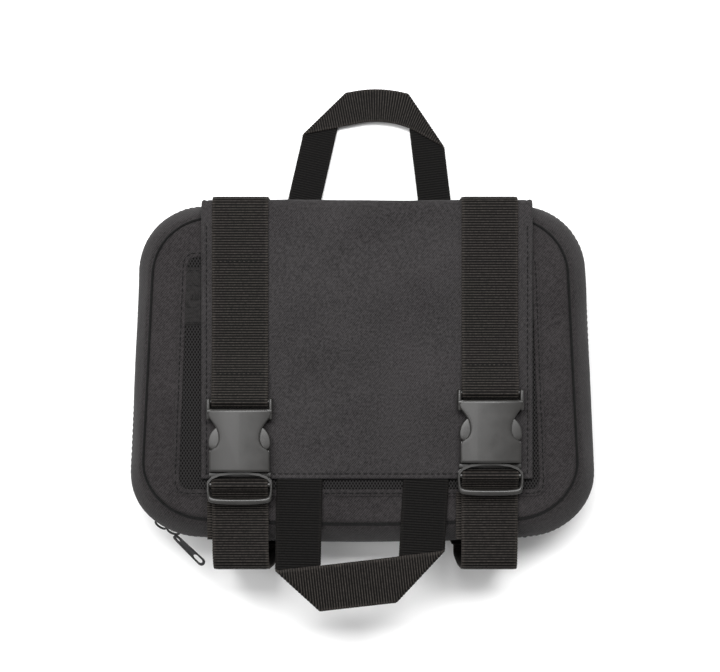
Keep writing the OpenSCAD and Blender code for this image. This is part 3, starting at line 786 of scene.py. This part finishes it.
def female_buckle(side):
    z0, z1 = BUCKLE_Z
    shapes = [crowned_plate(FEMALE_PROFILE, z1 - 3.2, z1, 2.1),
              crowned_plate(FEMALE_PROFILE, z0, z0 + 1.9, 0.1, edge=0.6)]
    for s in (-1, 1):
        a, b = sorted((s * 15.0, s * 16.8))
        shapes.append(rounded_box((a, 0.1, z0 + 0.3), (b, 12.2, z1 - 1.9), 0.6))
        a, b = sorted((s * 16.3, s * 18.3))
        shapes.append(rounded_box((a, 29, z0 + 0.2), (b, 40.8, z1 - 2.3), 0.9))
        shapes.append(rounded_box((s * 8 - 2.6, 1, z0 + 0.3), (s * 8 + 2.6, 3.2, z1 - 2.2), 0.4))
    shapes.append(rounded_box((-18.2, 32.4, z0 + 0.1), (18.2, 34.9, z1 - 1.9), 0.6))
    shapes.append(cross_bar(BAR_FEMALE, z0 + 3, 17.2))
    buckle_part("female_buckle_" + SIDES[side], side, shapes, "flap", "buckle_female_" + SIDES[side])


def mirrored(half):
    """A closed outline from its left half, read from the top round to the bottom's middle."""
    return soften(half + [(-x, y) for x, y in half[::-1]])


def male_buckle(side):
    z = BUCKLE_Z[0] + 0.8
    outer = mirrored([(-18.2, -0.4), (-18.2, -16.2), (-14.5, -17.6), (-7, -18.3)])
    window = mirrored([(-16.9, -1.0), (-16.9, -13.2), (-14.4, -14.6), (-7, -15.1)])
    shapes = [plate_from(outer, z + 0.5, z + 6.2, 0.9, [window]),
              rounded_box((-17.4, -3.2, z), (17.4, -0.6, z + 2.0), 0.5),
              rounded_box((-2, -1, z + 2.2), (2, 22, z + 5.4), 0.6), cross_bar(BAR_MALE, z + 2.8, 17)]
    buckle_part("male_buckle_" + SIDES[side], side, shapes, "male_" + SIDES[side], "buckle_male_" + SIDES[side])
    low, high = node_box("prong_" + SIDES[side] + "_outer")
    arm = [(6.6, 0.4), (9.2, 0.4), (10.4, 8), (12.2, 11.4), (15.8, 12.6), (17.1, 14.2), (17.3, 17),
           (16.4, 21), (13.4, 24.8), (10.6, 25.3), (7.6, 25), (6.6, 12)]
    for hand in ("outer", "inner"):
        sign = 1 if (side == 1) == (hand == "outer") else -1
        shape = plate_from(soften([(sign * px, py) for px, py in arm]), low[2], high[2], 0.6)
        name = SIDES[side] + "_" + hand
        buckle_part("spring_arm_" + name, side, [shape], "prong_" + name, "prong_" + name)


# -------- flap, wraps and straps

def edge_grid(low, high, step, fine=0.6, margin=6):
    """Positions across a cloth, closer together near both edges where the hems are."""
    inner = np.linspace(low + margin, high - margin, int((high - low - 2 * margin) / step) + 1)
    rim = np.arange(0, margin, fine)
    return np.concatenate([low + rim, inner, high - rim[::-1]])


# Distance of the flap's stitches from its edges
SEAM_IN = 2.9


def hem_relief(distance):
    """Height added near a folded and stitched edge: a fold roll, then a groove under the stitches."""
    fold = 0.28 * np.clip(1 - np.abs(distance - 1.2) / 1.6, 0, 1)
    groove = -0.3 * np.exp(-((distance - SEAM_IN) / 0.5) ** 2)
    round_off = -0.5 * np.clip(1 - distance / 0.9, 0, 1) ** 2
    return fold + groove + round_off


def over_the_top(radius):
    """Path in (y, z) from the hem up to the roll and down behind it, at a distance from the roll's middle."""
    return ROLL_Z + radius, arc(ROLL_Y, ROLL_Z, radius, range(90, -1, -6))


def flap_cloth():
    x0, x1 = FLAP_LOW[0], FLAP_HIGH[0]
    z, down = over_the_top(ROLL_R)
    path = np.array([(y, z) for y in edge_grid(HEM_Y, ROLL_Y, 2.0) if y < ROLL_Y - 0.5] + down
                    + [(WRAP_OUT, v) for v in np.arange(ROLL_Z - 3, SPLIT_Z, -3)] + [(WRAP_OUT, SPLIT_Z)])
    run = run_along(path)
    px, pr = np.meshgrid(edge_grid(x0, x1, 2.5), run)
    grid = np.stack([px, np.interp(pr, run, path[:, 0]), np.interp(pr, run, path[:, 1])], axis=-1)
    n = surface_normals(grid) * (-1 if looks_away(grid) else 1)
    side_in = np.minimum(px - x0, x1 - px)
    near_strap = np.minimum(np.abs(px - STRAP_X[0]), np.abs(px - STRAP_X[1]))
    free = np.clip((near_strap - 14) / 12, 0.25, 1)
    waves = (wrinkle(grid, 42, 0.75, 2.0) - 0.35 + wrinkle(grid, 13, 0.16, 6.0)) * free
    lift = waves + hem_relief(pr) + hem_relief(side_in) * np.clip(pr / 6, 0, 1)
    obj = slab("flap_cloth", grid + n * np.minimum(lift, 0.32)[..., None], 1.3, "flap")
    blended(obj, "lid", "flap", *LID_TO_FLAP, "flap_fabric", "flap_panel", "top_wrap_front")
    level = z + 0.1
    seam = [[(x, HEM_Y + SEAM_IN, level) for x in np.linspace(x0 + 2, x1 - 2, 60)]]
    seam += [[(x, y, level) for y in np.linspace(HEM_Y + 3, ROLL_Y - 8, 60)] for x in (x0 + SEAM_IN, x1 - SEAM_IN)]
    finish_piece(stitches("flap_seams", seam), "flap", "flap_fabric")


def upright_cloth(name, x0, x1, y_face, outward, z0, z1, seed):
    """Cloth standing along the top or bottom edge; its outer face looks to +Y where outward is 1."""
    px, pz = np.meshgrid(edge_grid(x0, x1, 3.0), np.linspace(z0, z1, int((z1 - z0) / 2) + 1))
    side_in = np.minimum(px - x0, x1 - px)
    grid = np.stack([px, np.full_like(px, y_face), pz], axis=-1)
    lift = wrinkle(grid, 24, 0.25, seed) - 0.1 + hem_relief(side_in)
    grid[..., 1] += outward * np.minimum(lift, 0.2)
    if outward < 0:
        grid[..., 1] += BOW * (np.abs(px) / (CASE_W / 2)) ** 2
    return slab(name, grid, 1.2, "flap", 1, outward)


def wraps():
    x0, x1 = WRAP_LOW[0], WRAP_HIGH[0]
    low = node_box("top_wrap_rear")[0][2]
    obj = upright_cloth("top_wrap_cloth", x0, x1, WRAP_OUT, 1, low, SPLIT_Z + 1, 1.0)
    blended(obj, "case", "lid", *CASE_TO_LID, "flap_fabric", "top_wrap_rear")
    obj = upright_cloth("base_wrap_cloth", BASE_LOW[0], BASE_HIGH[0], BASE_LOW[1], -1, BASE_LOW[2], BASE_HIGH[2],
                        5.0)
    finish_piece(obj, "case", "flap_fabric", "base_wrap")


def lay(name, x, path, thick=STRAP_T):
    """Webbing laid along a path (y, z); x is one number, or a function of the share of the way along it."""
    line = resample([(0, *p) for p in path], RIB_STEP)
    line[:, 0] = x(np.linspace(0, 1, len(line))) if callable(x) else x
    return ribbon(name, line, (1, 0, 0), STRAP_W, thick, "webbing")


def upper_strap(side):
    """From the flap's bar up over the top edge, with the folded end on top, and its run behind the lid."""
    x, name = STRAP_X[side], SIDES[side]
    bar_y, bar_z, turn = MOUTH_Y[side] + BAR_FEMALE, BUCKLE_Z[0] + 3.0, 2.6
    radius = ROLL_R + STRAP_T / 2 + 0.2
    z, down = over_the_top(radius)
    path = [(bar_y + 17, z), (bar_y + 6, z - 0.02)] + arc(bar_y, bar_z, turn, range(270, 89, -10))
    path += [(bar_y + 4, bar_z + turn - 0.2), (bar_y + 12, z + 3.0), (bar_y + 19, z + 1.7), (bar_y + 27, z + 0.3),
             (bar_y + 33, z)]
    path += [(v, z) for v in np.arange(bar_y + 36, ROLL_Y - 1, 3)] + down + [(ROLL_Y + radius, SPLIT_Z)]
    obj = lay("upper_webbing_" + name, x, path)
    blended(obj, "lid", "flap", *LID_TO_FLAP, "webbing", "upper_strap_" + name)
    rows = [[(x + dx, y, level) for dx in (-13, 0, 13)]
            for y, level in ((bar_y + 15.5, z + 3.1), (ROLL_Y - 30, z + STRAP_T / 2 + 0.1))]
    finish_piece(stitches("upper_webbing_seams_" + name, rows, pitch=2.6, length=1.8), "flap", "webbing")
    low = node_box("strap_end_" + name)[0][2]
    obj = lay("top_webbing_" + name, x, [(ROLL_Y + radius, SPLIT_Z + 0.5), (ROLL_Y + radius, low)])
    blended(obj, "case", "lid", *CASE_TO_LID, "webbing", "strap_end_" + name, "strap_top_" + name)


# Corner radius of a lower strap round the case, and its heights behind and in front of it
LOOP_R, LOOP_REAR, LOOP_FRONT = 4.3, 4.4, 77.8


def lower_strap(side):
    """From the back round the bottom edge to the male half's bar, with the folded tail and the sewn patch."""
    x, name = STRAP_X[side], SIDES[side]
    mouth = MOUTH_Y[side]
    bar_y, bar_z, turn = mouth + BAR_MALE, BUCKLE_Z[0] + 3.6, 2.7
    y_run, front = LOOP_Y + STRAP_T / 2, LOOP_FRONT
    path = [(-99.0, LOOP_REAR), (y_run + LOOP_R, LOOP_REAR)]
    path += arc(y_run + LOOP_R, LOOP_REAR + LOOP_R, LOOP_R, range(260, 179, -10))
    path += [(y_run - 0.9 * math.sin(t * math.pi), LOOP_REAR + LOOP_R + (front - LOOP_REAR - 2 * LOOP_R) * t)
             for t in (k / 12 for k in range(1, 12))]
    path += arc(y_run + LOOP_R, front - LOOP_R, LOOP_R, range(180, 89, -10))
    path += [(mouth - 26, front), (mouth - 22, front + 0.6), (mouth - 18, front + 2.4),
             (mouth - 14.5, front + 3.3), (bar_y - 3.9, bar_z - 0.6)]
    path += arc(bar_y, bar_z, turn, range(150, -91, -10))
    path += [(bar_y - 5, bar_z - turn - 0.4), (mouth - 17, front + 1.0)]
    drift = np.array([2.2, 2.0, 0, 0]) * (1 if side == 0 else -0.4)
    obj = lay("lower_webbing_" + name, lambda t: x + np.interp(t, [0, 0.35, 0.6, 1], drift), path)
    blended(obj, "male_" + name, "case", (0, -104, 78), (0, -104, 5), "webbing", "lower_strap_" + name,
            "male_webbing_" + name)
    tail = [(mouth - 17, front + 0.9), (mouth - 24, front - 1.3), (mouth - 32, front - 1.4), (-92, front - 1.5)]
    finish_piece(lay("webbing_tail_" + name, x - 3.0, tail, 1.3), "male_" + name, "webbing")
    low, high = node_box("strap_patch_" + name)
    grid_x, grid_z = np.meshgrid(np.linspace(low[0], high[0], 20), np.linspace(low[2], high[2], 16))
    face = np.stack([grid_x, np.full_like(grid_x, low[1]), grid_z], axis=-1)
    finish_piece(slab("patch_" + name, face, 1.1, "webbing", 1, -1), "case", "webbing", "strap_patch_" + name)


# -------- folded handles

# Painted shade on a handle's underside: how bright its ribs are beside its upper face
UNDERSIDE_SHADE = 0.72
# Thickness of the handles' webbing, and the radius of the turn at a crease
HANDLE_T, FOLD_R = 1.45, 0.8


def folded_strip(name, line, width, reach, folds, z_band):
    """Webbing folded back under itself at two slanting creases.

    line(s) gives a point and direction of the flat middle line; folds gives a point on each crease and its outward
    direction. Beyond a crease the webbing turns over a small roll and runs back underneath."""
    r = FOLD_R
    s_all = np.arange(-reach[0], reach[1], RIB_STEP)
    spots = np.concatenate([[-1, -0.985, -0.96], np.linspace(-0.93, 0.93, 55), [0.96, 0.985, 1]])
    depth = np.interp(np.abs(spots), [0, 0.93, 0.985, 1], [1, 1, 0.8, 0.45])
    ribbed = np.interp(np.abs(spots), [0, 0.84, 0.9, 0.985, 1], [1, 1, 0.5, 0.5, 0.2])
    loops, ribs = [], []
    for s in s_all:
        point, run = line(s)
        across = np.array([-run[1], run[0]])
        rib = RIB_HEIGHT * (abs(math.cos(math.pi * s / RIB)) - 0.6)
        top, low, shade = [], [], []
        for k, spot in enumerate(spots):
            p = point + across * spot * (width / 2 + min(rib, 0))
            z, up, out = z_band, 1.0, np.zeros(2)
            for crease, n in folds:
                d = float((p - crease) @ n)
                if d <= 0:
                    continue
                base = p - d * n
                if d < math.pi * r:
                    a = d / r
                    p, z = base + n * r * math.sin(a), z_band - r * (1 - math.cos(a))
                    up, out = math.cos(a), n * math.sin(a)
                else:
                    p, z, up, out = base - n * (d - math.pi * r), z_band - 2 * r, -1.0, np.zeros(2)
            # Painted shade on the folded-under webbing, which faces the floor
            shade.append(1.0 if up > 0 else UNDERSIDE_SHADE)
            z += 0.5 * math.sin(p[0] / 17 + p[1] / 23)
            half = HANDLE_T / 2 * depth[k] + rib * ribbed[k]
            top.append((p[0] + out[0] * half, p[1] + out[1] * half, z + up * half))
            low.append((p[0] - out[0] * half, p[1] - out[1] * half, z - up * half))
        loops.append(top + low[::-1])
        ribs.append(rib_shade_share(rib, ribbed) * np.array(shade + shade[::-1]))
    return strap_mesh(name, loops, ribs, "webbing")


def unit(x, y):
    v = np.array([x, y], float)
    return v / np.linalg.norm(v)


def crease(mid, band_out, leg):
    return np.array(mid, float), unit(*(np.array(band_out) - np.array(leg)))


def front_grip():
    middle, run = np.array([-2.2, -116.7]), unit(40.25, 4.7)
    left = crease((-34.9, -120.35), -run, unit(0.02, 1))
    right = crease((30.4, -113.0), run, unit(0.057, 0.998))
    obj = folded_strip("front_handle_webbing", lambda s: (middle + run * s, run), 25.6, (109, 103), [left, right],
                       78.6)
    blended(obj, "lid", "front_handle", (0, -57, 77), (0, -63, 77), "webbing", "front_handle",
            "front_handle_anchor")


def top_grip():
    top, bend = np.array([8.0, 160.0]), 62.0
    turn_left, turn_right = math.radians(11), math.radians(29)

    def line(s):
        a = min(max(s / bend, -turn_left), turn_right)
        p = top + bend * np.array([math.sin(a), math.cos(a) - 1])
        run = np.array([math.cos(a), -math.sin(a)])
        return p + run * (s - a * bend), run
    left = crease((-22.15, 154.05), (-math.cos(turn_left), -math.sin(turn_left)), unit(-0.223, -0.975))
    right = crease((38.3, 148.85), (math.cos(turn_right), -math.sin(turn_right)), unit(0.12, -0.993))
    obj = folded_strip("top_handle_webbing", line, 19.6, (88, 90), [left, right], 4.9)
    blended(obj, "case", "top_handle", (0, 101, 4), (0, 107, 4), "webbing", "top_handle", "top_handle_anchor")


# -------- zip sliders and pull

# Middle of the lower left corner, how far the sliders sit inside the outline and how far they are raised
CORNER = (-(CASE_W / 2 - CASE_R), -(CASE_H / 2 - CASE_R))
SLIDER_IN, SLIDER_LIFT = 1.6, 3.6
# Places of the sliders and of the pull's start round the corner, then the pull's heading and its roll, in degrees
UPPER_AT, LOWER_AT, PULL_AT = 237, 249, 250
PULL_HEADING, PULL_ROLL = -44, 35
PULL_LEN, PULL_W, PULL_T = 25.0, 5.6, 1.1


def turned(shape, degrees, offset, axis="Z"):
    turn = np.array(Matrix.Rotation(math.radians(degrees), 3, axis))
    return shape[0] @ turn.T + np.array(offset), shape[1]


def slider_body(name, body, node, angle):
    """Two plates and their bridge, with the bail as an oval ring on the outside."""
    r = CASE_R - SLIDER_IN
    shapes = [rounded_box((r + 0.2, -3.5, -4.0), (r + 1.3, 3.5, 4.0), 0.5),
              rounded_box((r - 2.9, -3, -4.0), (r - 1.9, 3, 4.0), 0.4),
              rounded_box((r - 2.2, -2.4, -0.25), (r + 0.6, 2.4, 0.25), 0.1, 1)]
    oval = [(r + 2.3 + 1.5 * math.cos(a), 3.6 * math.sin(a), 0) for a in np.linspace(0, 2 * math.pi, 33)]
    shapes.append(tube_shape(oval, 0.65))
    parts = [turned(s, angle, (CORNER[0], CORNER[1] + SLIDER_LIFT, ZIP_Z)) for s in shapes]
    finish_piece(merged(name, parts, "metal"), body, "zip_metal", node)


def long_pull():
    half = PULL_W / 2
    tip = [(PULL_LEN - half + half * math.cos(t), half * math.sin(t)) for t in np.linspace(-1.5, 1.5, 15)]
    outline = [(0.6, -1.0), (1.6, -1.8), (4, -2.1)] + tip + [(4, 2.1), (1.6, 1.8), (0.6, 1.0)]
    oval = [(PULL_LEN - 5 + (1.5 if math.cos(t) > 0 else -1.5) + 1.75 * math.cos(t), 1.75 * math.sin(t))
            for t in full_turn(20) + 0.1]
    slot = [(4.0 + 1.6 * math.cos(t), 0.8 * math.sin(t)) for t in full_turn(14)]
    shape = plate_from(outline, -PULL_T / 2, PULL_T / 2, 0.35, [oval, slot])
    (x, y), = arc(CORNER[0], CORNER[1] + SLIDER_LIFT, CASE_R + 4.4 - SLIDER_IN, [PULL_AT])
    shape = turned(turned(shape, PULL_ROLL, (0, 0, 0), "X"), PULL_HEADING, (x, y, ZIP_Z))
    finish_piece(merged("long_pull", [shape], "metal"), "zip_pull", "zip_metal", "zip_pull_long")


# -------- inside

def inner_net(name, node, body, facing):
    """A slack mesh pocket with an elastic hem; facing is +1 where the pocket bulges towards +Z."""
    low, high = node_box(node)
    xs, ys = np.linspace(low[0] + 0.5, high[0] - 0.5, 90), np.linspace(low[1] + 0.5, high[1] - 0.5, 32)
    x, y = np.meshgrid(xs, ys)
    u = (x - xs[0]) / (xs[-1] - xs[0])
    v = (y - ys[0]) / (ys[-1] - ys[0])
    puff = np.sin(u * math.pi) ** 0.4 * np.sin(np.clip(v * 0.62 + 0.06, 0, 1) * math.pi) ** 0.5
    gathers = 0.35 * np.sin(u * 70) * v ** 2
    depth = (high[2] - low[2]) - 1.0
    rise = 0.5 + depth * 0.8 * puff + gathers * puff
    z = (low[2] + rise) if facing > 0 else (high[2] - rise)
    grid = np.stack([x, y, z], axis=-1)
    obj = finish_piece(slab(name + "_net", grid, 0.4, "mesh", 2, facing), body, "mesh", node)
    hem = np.stack([xs, np.full_like(xs, ys[-1] - 3), grid[-3, :, 2] + 0.1 * facing], axis=-1)
    finish_piece(ribbon(name + "_elastic", resample(hem, 0.7), (0, 1, 0), 7, 1.0, "elastic"), body, "elastic")


def loops_row():
    """Five elastic loops in a row on the back panel, sewn down between them."""
    low, high = node_box("elastic_loops")
    y, sewn = (low[1] + high[1]) / 2, BACK_T + 0.9
    path = []
    for cx in (-80, -40, 0, 40, 80):
        path += [(cx - 19, y, sewn), (cx - 15.5, y, sewn)]
        path += [(cx - 14.2 * math.cos(t), y, BACK_T + 1 + 13.2 * math.sin(t))
                 for t in np.linspace(0.12, math.pi - 0.12, 24)]
        path += [(cx + 15.5, y, sewn)]
    path.append((99, y, sewn))
    obj = ribbon("elastic_loop_row", resample(path, 0.45), (0, 1, 0), high[1] - low[1], 1.2, "elastic")
    finish_piece(obj, "case", "elastic", "elastic_loops")


case_shells()
seams()
zips()
front_pocket()
flap_cloth()
wraps()
for strap in (0, 1):
    upper_strap(strap)
    lower_strap(strap)
    female_buckle(strap)
    male_buckle(strap)
front_grip()
top_grip()
slider_body("slider_upper_body", "slider_upper", "zip_slider_upper", UPPER_AT)
slider_body("slider_lower_body", "slider_lower", "zip_slider_lower", LOWER_AT)
long_pull()
inner_net("rear_pocket", "rear_mesh_pocket", "case", 1)
inner_net("lid_pocket", "lid_mesh_pocket", "lid", -1)
loops_row()


# -------- floor, lights and camera

def soft_light(name, place, target, size, power):
    data = bpy.data.lights.new(name, "AREA")
    data.shape = "RECTANGLE"
    data.size, data.size_y = size
    data.energy = power
    obj = bpy.data.objects.new(name, data)
    obj.location = place
    obj.rotation_euler = (Vector(target) - Vector(place)).to_track_quat("-Z", "Y").to_euler()
    bpy.context.collection.objects.link(obj)
    return obj


floor_mat = shader("paper", (0.93, 0.93, 0.93), 0.9, specular=0.1)[0]
bpy.ops.mesh.primitive_plane_add(size=6, location=(0, 0, -0.0005))
floor = bpy.context.object
floor.name = "floor"
floor.data.materials.append(floor_mat)
# Place, target, size in metres and power in watts
lights = [soft_light("sky_panel", (0.0, 0.62, 1.75), (0, 0.03, 0), (1.2, 0.5), 50),
          soft_light("left_strip", (-0.62, 0.1, 1.6), (-0.05, 0, 0), (0.4, 1.0), 9)]

scene = bpy.context.scene
world = bpy.data.worlds.new("studio")
world.use_nodes = True
sky_tree = world.node_tree
sky = sky_tree.nodes["Background"]
sky.inputs["Strength"].default_value = 1.1
sky_coords = sky_tree.nodes.new("ShaderNodeTexCoord")
sky_split = sky_tree.nodes.new("ShaderNodeSeparateXYZ")
link(sky_tree, sky_coords, "Generated", sky_split, "Vector")
tint(sky_tree, sky, sky_split.outputs["Z"], (0.8, 0.8, 0.8), (0.12, 0.12, 0.12))
scene.world = world
scene.view_settings.view_transform = "Standard"
# Sensor width and focal length in millimetres, and the camera's place straight above the bag in metres
SENSOR, LENS, CAMERA_AT = 36, 89.3, (-0.0014, 0.0218, 1.076)
camera_data = bpy.data.cameras.new("camera")
camera_data.sensor_width, camera_data.lens = SENSOR, LENS
camera = bpy.data.objects.new("camera", camera_data)
camera.location = CAMERA_AT
bpy.context.collection.objects.link(camera)
scene.camera = camera
